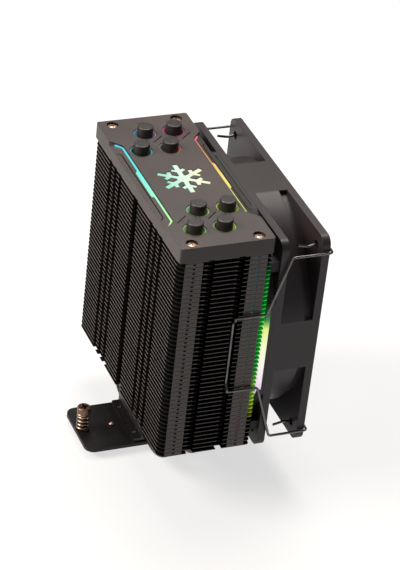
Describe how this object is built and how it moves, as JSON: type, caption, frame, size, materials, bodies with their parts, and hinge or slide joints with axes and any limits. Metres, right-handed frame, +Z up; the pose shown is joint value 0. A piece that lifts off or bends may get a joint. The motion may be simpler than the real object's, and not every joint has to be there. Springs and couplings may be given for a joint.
{
  "type": "cpu tower cooler",
  "caption": "Tower heatsink for a processor: plate fins on U-bent heat pipes, a clipped-on axial fan with a light ring, a lit top cover and a sprung mounting bar.",
  "frame": {"origin": "centre of the processor contact face under the base block", "axes": "+Z up the tower away from the processor, +Y from the fins towards the fan, +X along the fins to the viewer's side of the picture"},
  "size_m": [0.1238, 0.0994, 0.1536],
  "materials": {
    "base_metal": "dark nickel plated copper, bright milled contact face",
    "black_block": "black anodised aluminium",
    "black_plated_pipe": "black nickel plated tube, glossy",
    "black_fin": "thin sheet, black coat, semi-matte",
    "black_cap": "satin black coat with a bevelled top edge",
    "dark_plastic": "moulded, matte",
    "white_board": "white solder mask",
    "led_white": "moulded lens",
    "light_guide": "milky translucent acrylic, lit from below",
    "black_cover": "moulded cover, fine even grain",
    "nickel_screw": "nickel plated pan head",
    "black_steel": "stamped sheet, black coat",
    "zinc_steel": "zinc plated",
    "dark_steel_screw": "dark plated turned steel",
    "spring_wire": "plated round wire",
    "black_plastic": "glass filled moulding, satin",
    "black_impeller": "moulded, satin",
    "magnet": "bonded ferrite strip",
    "ground_steel": "ground shaft",
    "white_nylon": "punched nylon sheet",
    "bronze": "sintered bronze",
    "silicon_steel": "stacked laminations",
    "enamelled_copper": "enamelled round wire",
    "green_board": "green solder mask",
    "soft_pad": "soft silicone pad",
    "halo_light": "milky translucent ring, lit",
    "clip_wire": "drawn spring wire"
  },
  "bodies": {
    "heatsink": {"base_plate": "base_metal", "base_block": "black_block", "heat_pipe_1": "black_plated_pipe", "heat_pipe_2": "black_plated_pipe", "heat_pipe_3": "black_plated_pipe", "heat_pipe_4": "black_plated_pipe", "fin_stack": "black_fin", "pipe_caps": "black_cap", "cover_tray": "dark_plastic", "cover_led_board": "white_board", "cover_leds": "led_white", "light_guide": "light_guide", "top_cover": "black_cover", "cover_screws": "nickel_screw", "mounting_bar": "black_steel", "bar_screws": "zinc_steel", "screw_spring_rear": "spring_wire", "screw_spring_front": "spring_wire", "fan_frame": "black_plastic", "bearing_bush": "bronze", "stator_core": "silicon_steel", "stator_windings": "enamelled_copper", "fan_board": "green_board", "fan_pads": "soft_pad", "halo_housing": "dark_plastic", "halo_light": "halo_light", "halo_led_strip": "white_board", "halo_leds": "led_white"},
    "rotor": {"fan_impeller": "black_impeller", "rotor_yoke": "zinc_steel", "rotor_magnet": "magnet", "fan_shaft": "ground_steel", "shaft_retainer": "white_nylon"},
    "screw_rear_collar": {"e_clip_rear": "zinc_steel"},
    "screw_front_collar": {"e_clip_front": "zinc_steel"},
    "screw_rear": {"spring_screw_rear": "dark_steel_screw"},
    "screw_front": {"spring_screw_front": "dark_steel_screw"},
    "clip_near": {"fan_clip_near": "clip_wire"},
    "clip_far": {"fan_clip_far": "clip_wire"}
  },
  "joints": [
    {"name": "fan_spin", "type": "hinge", "parent": "heatsink", "child": "rotor", "pos_m": [0, 0.04, 0.085], "axis": [0, 1, 0], "continuous": true},
    {"name": "rear_screw_press", "type": "slide", "parent": "heatsink", "child": "screw_rear_collar", "axis": [0, 0, -1], "range_m": [0, 0.004], "stiffness_N_per_m": 2000, "springref_m": -0.002, "deforming": ["screw_spring_rear"]},
    {"name": "rear_screw_turn", "type": "hinge", "parent": "screw_rear_collar", "child": "screw_rear", "pos_m": [0, -0.041, 0.01], "axis": [0, 0, 1], "continuous": true},
    {"name": "front_screw_press", "type": "slide", "parent": "heatsink", "child": "screw_front_collar", "axis": [0, 0, -1], "range_m": [0, 0.004], "stiffness_N_per_m": 2000, "springref_m": -0.002, "deforming": ["screw_spring_front"]},
    {"name": "front_screw_turn", "type": "hinge", "parent": "screw_front_collar", "child": "screw_front", "pos_m": [0, 0.041, 0.01], "axis": [0, 0, 1], "continuous": true},
    {"name": "near_clip_swing", "type": "hinge", "parent": "heatsink", "child": "clip_near", "pos_m": [0.0525, 0.0512, 0.085], "axis": [0, 0, 1], "range_deg": [0, 20]},
    {"name": "far_clip_swing", "type": "hinge", "parent": "heatsink", "child": "clip_far", "pos_m": [-0.0525, 0.0512, 0.085], "axis": [0, 0, -1], "range_deg": [0, 20]}
  ]
}
